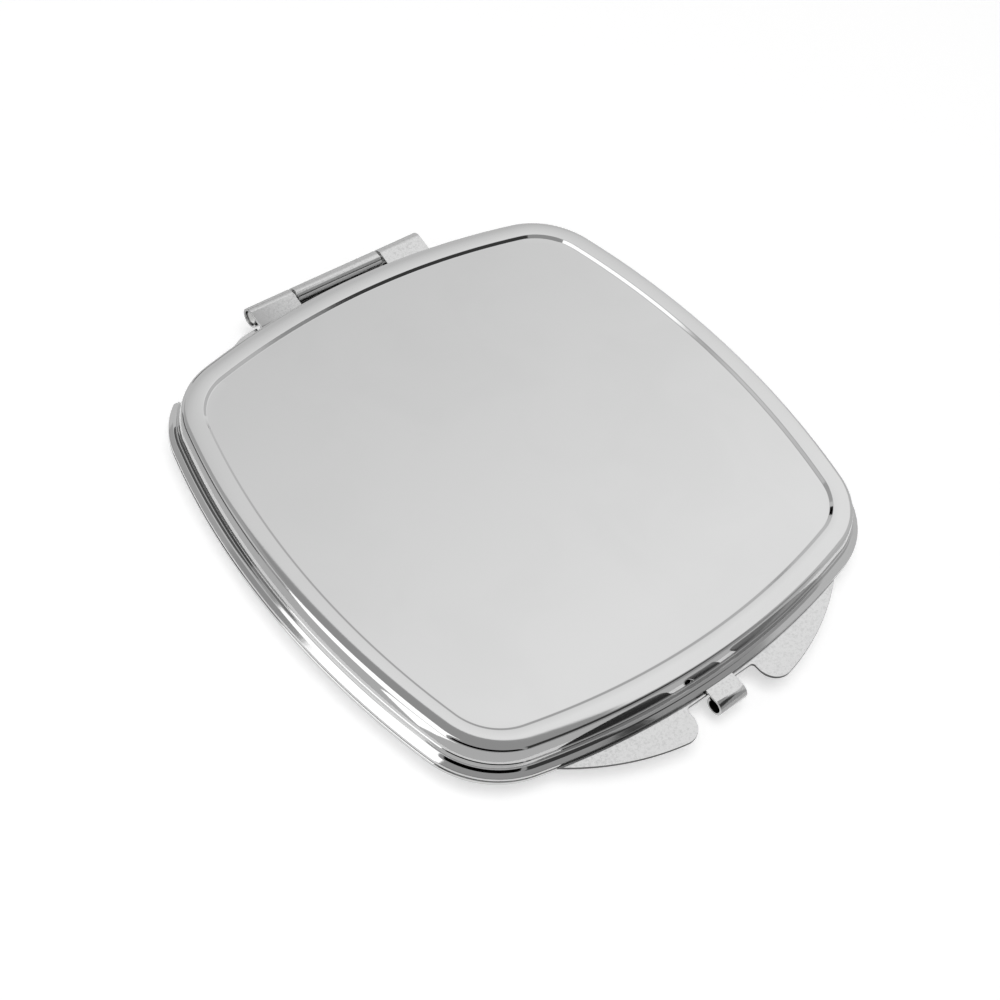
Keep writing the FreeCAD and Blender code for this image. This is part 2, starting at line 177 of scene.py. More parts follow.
def rounded(corners: Sequence[Triple], steps: int = 8) -> list[Point]:
    """Rounds the corners of an open path.

    Args:
        corners: Each corner with the radius of its round, which is zero at a sharp one.
        steps: Number of steps round one corner.

    Returns:
        The points of the rounded path.
    """
    path: list[Point] = []
    for count, (across, up, radius) in enumerate(corners):
        spot = Vector((across, up))
        if radius <= 0 or count in (0, len(corners) - 1):
            path.append((across, up))
            continue
        back = (Vector(corners[count - 1][:2]) - spot).normalized()
        ahead = (Vector(corners[count + 1][:2]) - spot).normalized()
        half_angle = back.angle(ahead) / 2
        centre = spot + (back + ahead).normalized() * radius / math.sin(half_angle)
        start = spot + back * radius / math.tan(half_angle) - centre
        turn = start.angle_signed(spot + ahead * radius / math.tan(half_angle) - centre)
        first = math.atan2(start.y, start.x)
        path += arc_points(centre, radius, first, first - turn, steps)
    return path


def mirrored(path: Sequence[Point]) -> list[Point]:
    """The same path on the other side of zero, run backwards."""
    return [(-across, along) for across, along in reversed(path)]


def put(name: str, data: ID) -> Object:
    """Makes an object and links it to the scene.

    Args:
        name: Name of the object.
        data: Its mesh, light or camera.

    Returns:
        The object.
    """
    made = bpy.data.objects.new(name, data)
    bpy.context.scene.collection.objects.link(made)
    return made


@dataclass
class Piece:
    """A mesh under way, which becomes an object that rides on one body of the part."""

    name: str
    body: str
    slot: str
    nodes: tuple[str, ...]

    def finish(
        self, mesh_data: BMesh, place: Matrix, material: Material, edge_round: float = 0.0
    ) -> None:
        """Turns the mesh into an object that rides on its body in place of its CAD nodes.

        Args:
            mesh_data: The mesh, in the piece's own millimetres.
            place: Move from there to the frame.
            material: Finish of the piece.
            edge_round: Width of the round on its sharp edges, in millimetres, or zero for none.
        """
        mesh_data.transform(place)
        bmesh.ops.recalc_face_normals(mesh_data, faces=mesh_data.faces)
        for face in mesh_data.faces:
            face.smooth = True
        for edge in mesh_data.edges:
            edge.smooth = len(edge.link_faces) == 2 and edge.calc_face_angle(0.0) < SHARP_ANGLE
        mesh = bpy.data.meshes.new(self.name)
        mesh_data.to_mesh(mesh)
        mesh_data.free()
        mesh.materials.append(material)
        made = put(self.name, mesh)
        if edge_round > 0:
            bevel = made.modifiers.new("edge_round", "BEVEL")
            bevel.width = edge_round * MM
            bevel.segments = 2
            bevel.limit_method = "ANGLE"
            bevel.angle_limit = SHARP_ANGLE
            bevel.use_clamp_overlap = True
        shading = made.modifiers.new("even_shading", "WEIGHTED_NORMAL")
        shading.keep_sharp = edge_round <= 0
        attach(made, self.body)
        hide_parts(*self.nodes)
        LOG.info("%s rides on %s with %d faces", self.name, self.body, len(mesh.polygons))


@dataclass
class PressedShell:
    """One pressed half of the case: a plain wall, a domed rim round a recessed field, and a folded hem."""

    plan: CasePlan
    sheet: float = 0.3
    foot: float = 0.3
    shoulder_inset: float = 1.64
    shoulder_round: float = 0.5
    wall_turn: float = math.radians(72)
    wall_end: Point = (0.97, 1.5)
    wall_end_turn: float = math.radians(83)
    wall_tail: float = 0.3
    outer_dome: float = 2.4
    crest_dome: float = 6.5
    inner_dome: float = 11.25
    crest_inset: float = 2.61
    crest_turn: float = math.radians(5.6)
    slope_top: float = 3.5
    slope_top_round: float = 0.12
    slope_foot: float = 3.83
    slope_foot_round: float = 0.12
    slope_blend: float = 0.36
    crest_marks: Triple = (0.3, 0.2, 0.1)
    field: float = 3.02
    field_run: float = 1.0
    rim_roof: float = 2.87
    rim_hollow: Point = (1.64, 3.35)
    fold_inside: float = 0.13
    fold_wall: float = 0.12
    fold_foot: float = 0.04
    fold_corner: Point = (0.05, 0.1)
    lid_edge_top: float = 0.43
    base_edge_top: float = 0.56
    edge_top_round: float = 0.05
    lip_reach: float = 0.52
    lip_rise: float = 0.19
    lip_round: float = 0.4
    bead_foot: Triple = (0.78, 0.84, 0.2)
    bead_brow: Triple = (0.9, 1.46, 0.05)
    bead_top: Point = (1.0, 1.57)
    hem_back: float = 1.15
    hem_end_round: float = 0.5
    hem_end_start: float = 0.12
    arc_steps: int = 8
    hem_steps: int = 7
    hem_corner_steps: int = 88

    def dome(self) -> list[Point]:
        """The rim's upper side, from the field's edge over the crest to the shoulder.

        Returns:
            The points in order.
        """
        inner = rounded(
            [
                (self.slope_foot + self.field_run, self.field, 0.0),
                (self.slope_foot, self.field, self.slope_foot_round),
                (*self.crest_point(self.slope_top), self.slope_top_round),
                (*self.crest_point(self.slope_top - self.slope_blend), 0.0),
            ]
        )
        inner += [self.crest_point(self.crest_inset + across) for across in self.crest_marks]
        centre = (self.crest_inset, self.plan.half_height - self.crest_dome)
        edge = math.pi / 2 + self.crest_turn
        crest = arc_points(centre, self.crest_dome, math.pi / 2, edge, self.arc_steps)
        inward = Vector((math.sin(self.crest_turn), -math.cos(self.crest_turn)))
        centre = Vector(crest[-1]) + inward * self.outer_dome
        shoulder = math.pi / 2 + self.shoulder_turn()
        outer = arc_points(centre, self.outer_dome, edge, shoulder, self.arc_steps)
        return inner + crest + outer[1:]

    def crest_point(self, inset: float) -> Point:
        """A point on the crest's flat inner side."""
        across = inset - self.crest_inset
        return inset, self.plan.half_height - self.inner_dome + math.sqrt(self.inner_dome**2 - across**2)

    def shoulder_turn(self) -> float:
        """How far the dome has turned down where the shoulder starts.

        Returns:
            The angle in radians.
        """
        sine = math.sin(self.crest_turn)
        outer_edge = self.crest_inset - self.crest_dome * sine
        return math.asin(sine + (outer_edge - self.shoulder_inset) / self.outer_dome)

    def wall(self, start: Point) -> list[Point]:
        """The round shoulder and the wall under it, which bulges a little.

        Args:
            start: Where the dome ends.

        Returns:
            The points from the shoulder down to the wall's foot.
        """
        turn = self.shoulder_turn()
        centre = (
            start[0] + self.shoulder_round * math.sin(turn),
            start[1] - self.shoulder_round * math.cos(turn),
        )
        first, last = math.pi / 2 + turn, math.pi / 2 + self.wall_turn
        shoulder = arc_points(centre, self.shoulder_round, first, last, self.arc_steps)
        top, end = Vector(shoulder[-1]), Vector(self.wall_end)
        pull = (top - end).length / 3
        leave = bearing(self.wall_turn) * -pull
        arrive = bearing(self.wall_end_turn) * pull
        bulge = []
        for step in range(1, self.arc_steps + 1):
            share = step / self.arc_steps
            rest = 1 - share
            spot = top * rest**3 + (top + leave) * 3 * rest**2 * share
            spot += (end + arrive) * 3 * rest * share**2 + end * share**3
            bulge.append((spot.x, spot.y))
        tail = end - arrive.normalized() * self.wall_tail
        return shoulder[1:] + bulge + [(tail.x, tail.y), (self.plan.wall_foot, self.foot)]

    def section(self) -> list[Point]:
        """The section from the field outwards over the rim, down the wall and back along the inside.

        Returns:
            The points in order.
        """
        dome = self.dome()
        inside = self.field - self.sheet
        outer = [*dome, *self.wall(dome[-1])]
        near, far = self.rim_hollow
        inner = [
            (self.plan.wall_foot + self.sheet, self.foot),
            (near, inside),
            (near, self.rim_roof),
            (far, self.rim_roof),
            (far, inside),
            (self.slope_foot + self.field_run, inside),
        ]
        return outer + inner

    def hem_section(self, edge_top: float) -> list[Point]:
        """The hem's section: a fold round the plate's edge, a flaring lip, a steep bead and a ledge.

        Args:
            edge_top: How far up the fold's outside stands before the lip leaves it.

        Returns:
            The points from the plate round the outside to the wall.
        """
        return rounded(
            [
                (self.hem_back, self.foot, 0.0),
                (self.fold_inside, self.foot, 0.0),
                (self.fold_wall, self.fold_foot, 0.0),
                (self.fold_corner[0], self.fold_foot, 0.0),
                (0.0, self.fold_corner[1], 0.0),
                (0.0, edge_top, self.edge_top_round),
                (self.lip_reach, edge_top + self.lip_rise, self.lip_round),
                self.bead_foot,
                self.bead_brow,
                (*self.bead_top, 0.0),
                (self.hem_back, self.bead_top[1], 0.0),
            ],
            self.hem_steps,
        )

    def add_hem(self, mesh: BMesh, edge_top: float) -> None:
        """Runs the hem round the front and the sides, with rounded ends at the hinge's corners.

        Args:
            mesh: Mesh of the shell.
            edge_top: Height of the fold's outside.
        """
        section = self.hem_section(edge_top)
        wall = self.hem_back
        stations = self.plan.stations(corner_steps=self.hem_corner_steps)
        end_y = self.plan.hem_end_y
        rear = [count for count, station in enumerate(stations) if station.at(0.0)[1] > end_y]
        run = stations[rear[-1] + 1 :] + stations[: rear[0]]
        ends = [run[0].at(0.0), run[-1].at(0.0)]
        rows = []
        for station in run:
            away = min(math.dist(station.at(0.0), end) for end in ends)
            share = min(1.0, (away + self.hem_end_start) / self.hem_end_round)
            reach = math.sqrt(1.0 - (1.0 - share) ** 2)
            points = [station.at(wall - (wall - across) * reach) for across, _ in section]
            rows.append([mesh.verts.new((*point, up)) for point, (_, up) in zip(points, section)])
        skin(mesh, rows)
        mesh.faces.new(rows[0])
        mesh.faces.new(rows[-1])

    def build(self, half: Half, material: Material) -> None:
        """Sweeps the section round the outline, closes the field with rings and adds the hem.

        Args:
            half: The half that this shell is.
            material: Finish of the shell.
        """
        mesh = bmesh.new()
        stations = self.plan.stations()
        section = self.section()
        loops = []
        for inset, up in section:
            loops.append([mesh.verts.new((*station.at(inset), up)) for station in stations])
        skin(mesh, loops)
        close_disc(mesh, loops[0], section[0][1])
        close_disc(mesh, loops[-1], section[-1][1])
        self.add_hem(mesh, self.lid_edge_top if half is Half.LID else self.base_edge_top)
        piece = Piece(f"{half.value}_case", half.value, "polished_chrome", (f"{half.value}_shell",))
        piece.finish(mesh, self.plan.place(half), material)


def bridge(mesh: BMesh, first: Sequence, second: Sequence) -> None:
    """Joins two closed loops of as many vertices with a band of quads.

    Args:
        mesh: Mesh that the loops belong to.
        first: Vertices of one loop in order.
        second: Vertices of the other loop in the same order.
    """
    for count in range(len(first)):
        after = (count + 1) % len(first)
        mesh.faces.new((first[count], first[after], second[after], second[count]))


def skin(mesh: BMesh, loops: Sequence[Sequence]) -> None:
    """Joins each of a row of closed loops to the next one."""
    for first, second in zip(loops, loops[1:]):
        bridge(mesh, first, second)


def close_disc(mesh: BMesh, loop: Sequence, height: float, rings: int = 6) -> None:
    """Fills a closed loop with shrinking rings and a fan at the middle.

    Args:
        mesh: Mesh that the loop belongs to.
        loop: Vertices of the loop in order.
        height: Height of the flat disc.
        rings: Number of rings before the fan.
    """
    outer = list(loop)
    corners = [vertex.co.copy() for vertex in loop]
    for ring in range(1, rings):
        share = 1 - ring / rings
        inner = [mesh.verts.new((corner.x * share, corner.y * share, height)) for corner in corners]
        bridge(mesh, outer, inner)
        outer = inner
    middle = mesh.verts.new((0.0, 0.0, height))
    for count in range(len(outer)):
        mesh.faces.new((outer[count], outer[(count + 1) % len(outer)], middle))


@dataclass
class Tab:
    """An edge of a plate that runs on as a rolled strip: its corners along X and the path of its middle."""

    corners: list[Point]
    path: list[Point]
    # Share of painted shade on the faces inside the rolled strip.
    inside_painted_shade: float = 0.3


@dataclass
class HingePlate:
    """A sheet ring between a shell and its mirror, with what is rolled or cut at its edge."""

    plan: CasePlan
    thickness: float = 0.3
    setback: float = 0.14
    window_inset: float = 4.2
    edge_round: float = 0.05
    # Share of painted shade on the plate's cut edges.
    edge_painted_shade: float = 0.8
    axis_y: float = 32.55
    axis_z: float = 0.4
    roll_radius: float = 1.15
    root_y: float = 31.05
    bend_radius: float = 0.45
    roll_end: float = math.radians(-172)
    bend_steps: int = 5
    roll_steps: int = 44
    side_start: float = 25.0

    def knuckle_path(self) -> list[Point]:
        """The middle of a sheet that bends up from the plate and rolls over the pin.

        Returns:
            Its points in Y and Z.
        """
        middle = self.roll_radius - self.thickness / 2
        bend = (self.root_y, self.thickness / 2 + self.bend_radius)
        apart = Vector((self.axis_y - bend[0], self.axis_z - bend[1]))
        slope = math.asin((self.bend_radius + middle) / apart.length) + math.atan2(apart.y, apart.x)
        rise = arc_points(bend, self.bend_radius, -math.pi / 2, slope - math.pi / 2, self.bend_steps)
        axis = (self.axis_y, self.axis_z)
        return rise + arc_points(axis, middle, slope + math.pi / 2, self.roll_end, self.roll_steps)

    def outline(self) -> list[Point]:
        """The plate's outer edge, anticlockwise, before its tabs.

        Returns:
            The points in order.
        """
        edge: list[Point] = []
        behind = False
        for station in self.plan.stations():
            was_behind, behind = behind, station.at(self.setback)[1] > self.plan.hem_end_y
            if was_behind and not behind:
                edge.append(station.at(self.plan.wall_foot))
            if behind and not was_behind:
                edge.append(station.at(self.setback))
            edge.append(station.at(self.plan.wall_foot if behind else self.setback))
        return edge

    def tabs(self) -> list[Tab]:
        """The rolled strips at the plate's edge."""
        raise NotImplementedError

    def edge_with_tabs(self) -> list[Point]:
        """The plate's whole outer edge, with whatever is cut into it."""
        raise NotImplementedError

    def splice(self, edge: list[Point], path: list[Point], rear: bool) -> list[Point]:
        """Puts a path into one side of an outline in place of the part that it spans.

        Args:
            edge: Outline, anticlockwise.
            path: Points of the new part, in the same sense.
            rear: True for the hinge side, false for the clasp side.

        Returns:
            The changed outline.
        """
        low = min(across for across, _ in path)
        high = max(across for across, _ in path)
        found: list[Point] = []
        placed = False
        for across, along in edge:
            if (along > 0) == rear and low <= across <= high and abs(along) > self.side_start:
                if not placed:
                    found += path
                    placed = True
            else:
                found.append((across, along))
        return found

    def build(self, half: Half, material: Material) -> None:
        """Builds the plate as one closed sheet: two flat faces, its edges and its rolled strips.

        Args:
            half: The half that this plate closes.
            material: Finish of the plate.
        """
        mesh = bmesh.new()
        # Face layer with each face's share of painted shade: high on the cut edges and inside the rolls,
        # where shade falls.
        painted_shade = mesh.faces.layers.float.new("painted_shade")
        edge = self.edge_with_tabs()
        window = [station.at(self.window_inset) for station in self.plan.stations()]
        layers = []
        for height in (0.0, self.thickness):
            outer = [mesh.verts.new((*point, height)) for point in edge]
            inner = [mesh.verts.new((*point, height)) for point in window]
            split_cap(mesh, outer, inner)
            layers.append((outer, inner))
        (low_outer, low_inner), (high_outer, high_inner) = layers
        bridge(mesh, low_inner, high_inner)
        rolled: set[tuple[int, int]] = set()
        for tab in self.tabs():
            places = [edge.index(corner) for corner in tab.corners]
            rolled |= {tuple(sorted(pair)) for pair in zip(places, places[1:])}
            low_end = [low_outer[place] for place in places]
            high_end = [high_outer[place] for place in places]
            self.roll(mesh, low_end, high_end, tab)
        for count in range(len(edge)):
            after = (count + 1) % len(edge)
            if tuple(sorted((count, after))) not in rolled:
                corners = low_outer[count], low_outer[after], high_outer[after], high_outer[count]
                # The cut edges get painted shade.
                mesh.faces.new(corners)[painted_shade] = self.edge_painted_shade
        piece = Piece(f"{half.value}_plate", half.value, "satin_plate", (f"{half.value}_frame",))
        piece.finish(mesh, self.plan.place(half), material, self.edge_round)

    def roll(self, mesh: BMesh, low: list, high: list, tab: Tab) -> None:
        """Carries the end of a tab on as a strip of the same sheet.

        Args:
            mesh: Mesh of the plate.
            low: Vertices of the tab's end on the mouth side.
            high: Vertices of the tab's end on the other side, in the same order.
            tab: The tab, whose path gives the middle of the strip in Y and Z.
        """
        painted_shade = mesh.faces.layers.float["painted_shade"]
        path = tab.path
        for count in range(1, len(path)):
            before = Vector(path[count - 1])
            after = Vector(path[min(count + 1, len(path) - 1)])
            along = (after - before).normalized()
            side = Vector((-along.y, along.x)) * self.thickness / 2
            if high[0].co.y < 0:
                side = -side
            here = Vector(path[count])
            new_low = [mesh.verts.new((vertex.co.x, *(here - side))) for vertex in low]
            new_high = [mesh.verts.new((vertex.co.x, *(here + side))) for vertex in high]
            for step in range(len(low) - 1):
                # The faces inside the roll get painted shade.
                inside = mesh.faces.new((low[step], low[step + 1], new_low[step + 1], new_low[step]))
                inside[painted_shade] = tab.inside_painted_shade
                mesh.faces.new((high[step], high[step + 1], new_high[step + 1], new_high[step]))
            for end in (0, -1):
                mesh.faces.new((low[end], high[end], new_high[end], new_low[end]))
            low, high = new_low, new_high
        for step in range(len(low) - 1):
            mesh.faces.new((low[step], low[step + 1], high[step + 1], high[step]))


def crossing(loop: list, side: int) -> int:
    """Finds where a loop crosses X zero.

    Args:
        loop: Vertices of the loop.
        side: 1 for the hinge side, -1 for the clasp side.

    Returns:
        The number of the vertex there.
    """
    return next(
        count
        for count, vertex in enumerate(loop)
        if abs(vertex.co.x) < NEARLY_ZERO and vertex.co.y * side > 0
    )


def from_front(loop: list) -> tuple[list, int]:
    """Turns a loop so that it starts where it crosses X zero on the clasp side.

    Args:
        loop: Vertices of the loop, anticlockwise.

    Returns:
        The turned loop, and the number of the vertex where it crosses X zero on the hinge side.
    """
    front = crossing(loop, -1)
    loop = loop[front:] + loop[:front]
    return loop, crossing(loop, 1)


def split_cap(mesh: BMesh, outer: list, inner: list) -> None:
    """Fills the ring between two loops with a left and a right face that meet at X zero.

    Args:
        mesh: Mesh that the loops belong to.
        outer: Outer loop, anticlockwise.
        inner: Inner loop, anticlockwise.
    """
    outer, outer_rear = from_front(outer)
    inner, inner_rear = from_front(inner)
    mesh.faces.new(outer[: outer_rear + 1] + inner[: inner_rear + 1][::-1])
    mesh.faces.new(outer[outer_rear:] + outer[:1] + inner[:1] + inner[inner_rear:][::-1])


@dataclass
class LidPlate(HingePlate):
    """The lid's plate: two flared leaves with the outer knuckles, and the rolled clasp in front."""

    root_y: float = 30.1
    leaf_lean: float = 0.06
    leaf_slope: float = math.radians(13)
    leaf_bend: float = 0.4
    leaf_y: float = 31.0
    leaf_relief: float = 0.12
    knuckle_near: float = 5.98
    knuckle_far: float = 11.6
    shoulder: Point = (13.8, 30.8)
    shoulder_round: float = 4.0
    flare: Point = (17.3, 29.1)
    flare_round: float = 0.3
    clasp_half_width: float = 1.8
    clasp_root_y: float = -31.05
    clasp_axis_y: float = -32.5
    clasp_roll_radius: float = 1.0
    clasp_end: float = math.radians(390)
    # Share of painted shade inside the clasp's curl.
    clasp_painted_shade: float = 1.0
    clasp_steps: int = 40

    def knuckle_path(self) -> list[Point]:
        """The middle of a sheet that stands up behind the wall, leans out and rolls over the pin.

        Returns:
            Its points in Y and Z.
        """
        middle = self.roll_radius - self.thickness / 2
        touch = math.pi / 2 + self.leaf_slope
        top = (self.axis_y + middle * math.cos(touch), self.axis_z + middle * math.sin(touch))
        bend_y = self.root_y + self.leaf_lean
        bend_z = top[1] - (top[0] - bend_y) * math.tan(self.leaf_slope)
        foot = (self.root_y, self.thickness / 2)
        rise = rounded([(*foot, 0.0), (bend_y, bend_z, self.leaf_bend), (*top, 0.0)])
        axis = (self.axis_y, self.axis_z)
        return rise[:-1] + arc_points(axis, middle, touch, self.roll_end, self.roll_steps)

    def clasp_path(self) -> list[Point]:
        """The middle of the strip that runs out of the case and curls down and back.

        Returns:
            Its points in Y and Z.
        """
        middle = self.clasp_roll_radius - self.thickness / 2
        centre = (self.clasp_axis_y, self.thickness - self.clasp_roll_radius)
        root = (self.clasp_root_y, self.thickness / 2)
        return [root, *arc_points(centre, middle, math.pi / 2, self.clasp_end, self.clasp_steps)]

    def tabs(self) -> list[Tab]:
        """The two knuckles and the clasp.

        Returns:
            The tabs.
        """
        found = []
        for sign in (1, -1):
            ends = [(sign * across, self.root_y) for across in (self.knuckle_far, self.knuckle_near)]
            found.append(Tab(ends, self.knuckle_path()))
        half = self.clasp_half_width
        clasp = [(across, self.clasp_root_y) for across in (-half, 0.0, half)]
        return [*found, Tab(clasp, self.clasp_path(), self.clasp_painted_shade)]

    def edge_with_tabs(self) -> list[Point]:
        """The outline with a flared leaf at each end of the hinge and the clasp's root in front.

        Returns:
            The points, anticlockwise.
        """
        foot = (self.flare[0], self.plan.edge_y(self.flare[0], self.plan.wall_foot))
        bends = [(*foot, 0.0), (*self.flare, self.flare_round), (*self.shoulder, self.shoulder_round)]
        relief = self.knuckle_far + self.leaf_relief
        leaf = rounded([*bends, (relief, self.leaf_y, 0.0)])
        near = self.plan.edge_y(self.knuckle_near, self.plan.wall_foot)
        leaf += [(relief, self.root_y), (self.knuckle_far, self.root_y)]
        leaf += [(self.knuckle_near, self.root_y), (self.knuckle_near, near)]
        half, root_y = self.clasp_half_width, self.clasp_root_y
        front = -self.plan.edge_y(half, self.setback)
        clasp = [(-half, front), (-half, root_y), (0.0, root_y), (half, root_y), (half, front)]
        edge = self.splice(self.outline(), leaf, True)
        edge = self.splice(edge, mirrored(leaf), True)
        return self.splice(edge, clasp, False)


@dataclass
class BasePlate(HingePlate):
    """The base's plate: the centre knuckle behind and the two thumb ears in front."""

    axis_z: float = -0.5
    knuckle_half: float = 5.7
    notch_half: float = 4.6
    notch_y: float = -31.3
    notch_round: float = 0.4
    ear_tip_y: float = -34.2
    lobe_radius: float = 2.0
    ear_radius: float = 29.0
    ear_foot: Point = (19.3, -28.7)
    notch_steps: int = 6
    ear_steps: int = 20

    def tabs(self) -> list[Tab]:
        """The centre knuckle."""
        corners = [(across, self.root_y) for across in (self.knuckle_half, 0.0, -self.knuckle_half)]
        return [Tab(corners, self.knuckle_path())]

    def right_ear(self) -> list[Point]:
        """The edge from the middle of the notch to the right ear's foot.

        Returns:
            The points in order.
        """
        lobe = Vector((self.notch_half + self.lobe_radius, self.ear_tip_y + self.lobe_radius))
        foot = Vector(self.ear_foot)
        across = foot - lobe
        reach = self.ear_radius - self.lobe_radius
        cosine = (across.length_squared + reach**2 - self.ear_radius**2) / (2 * across.length * reach)
        toward = math.atan2(across.y, across.x) + math.acos(cosine)
        centre = lobe + bearing(toward) * reach
        touch = toward - math.pi
        foot_angle = math.atan2(foot.y - centre.y, foot.x - centre.x)
        notch = (self.notch_half - self.notch_round, self.notch_y - self.notch_round)
        edge = [(0.0, self.notch_y)]
        edge += arc_points(notch, self.notch_round, math.pi / 2, 0.0, self.notch_steps)
        edge += arc_points(lobe, self.lobe_radius, -math.pi, touch, self.ear_steps)
        edge += arc_points(centre, self.ear_radius, touch, foot_angle, self.ear_steps)[1:]
        return edge

    def edge_with_tabs(self) -> list[Point]:
        """The outline with the ears and their notch in front and the knuckle's root behind.

        Returns:
            The points, anticlockwise.
        """
        right = self.right_ear()
        half, root_y = self.knuckle_half, self.root_y
        near = self.plan.edge_y(half, self.plan.wall_foot)
        root = [(half, near), (half, root_y), (0.0, root_y), (-half, root_y), (-half, near)]
        edge = self.splice(self.outline(), mirrored(right[1:]) + right, False)
        return self.splice(edge, root, True)


@dataclass
class HingePin:
    """The wire through the knuckles, a little short of their ends."""

    plan: CasePlan
    radius: float = 0.8
    half_length: float = 11.45
    end_round: float = 0.25
    axis_y: float = 32.55
    axis_z: float = -0.5
    end_steps: int = 5
    round_steps: int = 40

    def build(self, material: Material) -> None:
        """Turns the wire's section about the hinge axis.

        Args:
            material: Finish of the wire.
        """
        mesh = bmesh.new()
        flat = self.radius - self.end_round
        corner = self.half_length - self.end_round
        right = arc_points((corner, flat), self.end_round, 0.0, math.pi / 2, self.end_steps)
        axis = (self.axis_y, self.axis_z)
        loops = []
        for along, out in right + mirrored(right):
            ring = arc_points(axis, out, 0.0, 2 * math.pi, self.round_steps)[:-1]
            loops.append([mesh.verts.new((along, *point)) for point in ring])
        skin(mesh, loops)
        mesh.faces.new(loops[0])
        mesh.faces.new(loops[-1])
        piece = Piece("hinge_wire", Half.BASE.value, "pin_wire", ("hinge_pin",))
        piece.finish(mesh, self.plan.place(Half.BASE), material)


class Sheet:
    """A node tree under construction, with short ways to add nodes and join them."""

    def __init__(self, tree: NodeTree) -> None:
        """Starts on an empty tree."""
        self.tree = tree
        tree.nodes.clear()

    def add(self, kind: str, inputs: dict | None = None, **settings: object) -> Node:
        """Adds a node.

        Args:
            kind: The node's type name.
            inputs: Values or sockets for its inputs, by name or number.
            settings: Other properties of the node.

        Returns:
            The node.
        """
        node = self.tree.nodes.new(kind)
        for name, value in settings.items():
            setattr(node, name, value)
        self.fill(node, inputs or {})
        return node

    def fill(self, node: Node, inputs: dict) -> None:
        """Sets the inputs of a node.

        Args:
            node: The node.
            inputs: Values or sockets for its inputs, by name or number.
        """
        for name, value in inputs.items():
            if isinstance(value, NodeSocket):
                self.tree.links.new(value, node.inputs[name])
            else:
                node.inputs[name].default_value = value

    def math(self, operation: str, *values: object) -> NodeSocket:
        """Adds a sum on numbers and gives its result."""
        node = self.add("ShaderNodeMath", dict(enumerate(values)), operation=operation)
        return node.outputs[0]

    def dot(self, first: object, second: object) -> NodeSocket:
        """Adds a dot product of two vectors and gives its result."""
        node = self.add("ShaderNodeVectorMath", {0: first, 1: second}, operation="DOT_PRODUCT")
        return node.outputs["Value"]

    def blend(self, mask: NodeSocket, first: object, second: object) -> NodeSocket:
        """Mixes two colours by a mask.

        Args:
            mask: Socket with the second colour's share.
            first: Colour where the mask is zero, as a socket or as three numbers.
            second: Colour where the mask is one, in the same way.

        Returns:
            The mixed colour's socket.
        """
        pair = [ink if isinstance(ink, NodeSocket) else (*ink, 1.0) for ink in (first, second)]
        inputs = {"Factor": mask, "A": pair[0], "B": pair[1]}
        return self.add("ShaderNodeMix", inputs, data_type="RGBA").outputs["Result"]

    def seen(self) -> NodeSocket:
        """One for rays from the camera, a mirror or a glass, and zero for scattered light.

        Returns:
            The result's socket.
        """
        path = self.add("ShaderNodeLightPath").outputs
        sharp = self.math("MAXIMUM", path["Is Camera Ray"], path["Is Glossy Ray"])
        return self.math("MAXIMUM", sharp, path["Is Transmission Ray"])

    def span(
        self, value: object, low: float, high: float, to_low: float = 0.0, to_high: float = 1.0
    ) -> NodeSocket:
        """Maps a value smoothly from one span to another.

        Args:
            value: Socket with the value.
            low: Where the span starts.
            high: Where the span ends.
            to_low: Result at the start.
            to_high: Result at the end.

        Returns:
            The result's socket.
        """
        inputs = {"Value": value, "From Min": low, "From Max": high, "To Min": to_low, "To Max": to_high}
        node = self.add("ShaderNodeMapRange", inputs, interpolation_type="SMOOTHSTEP")
        return node.outputs["Result"]


def new_group(
    name: str, inputs: Iterable[tuple[str, float]], outputs: Iterable[str]
) -> tuple[Sheet, Node]:
    """Starts a shader node group whose sockets are all numbers.

    Args:
        name: Name of the group.
        inputs: Names and first values of its inputs.
        outputs: Names of its outputs.

    Returns:
        The group's sheet and its input node.
    """
    tree = bpy.data.node_groups.new(name, "ShaderNodeTree")
    for label, value in inputs:
        socket = tree.interface.new_socket(label, in_out="INPUT", socket_type="NodeSocketFloat")
        socket.default_value = value
    for label in outputs:
        tree.interface.new_socket(label, in_out="OUTPUT", socket_type="NodeSocketFloat")
    sheet = Sheet(tree)
    return sheet, sheet.add("NodeGroupInput")


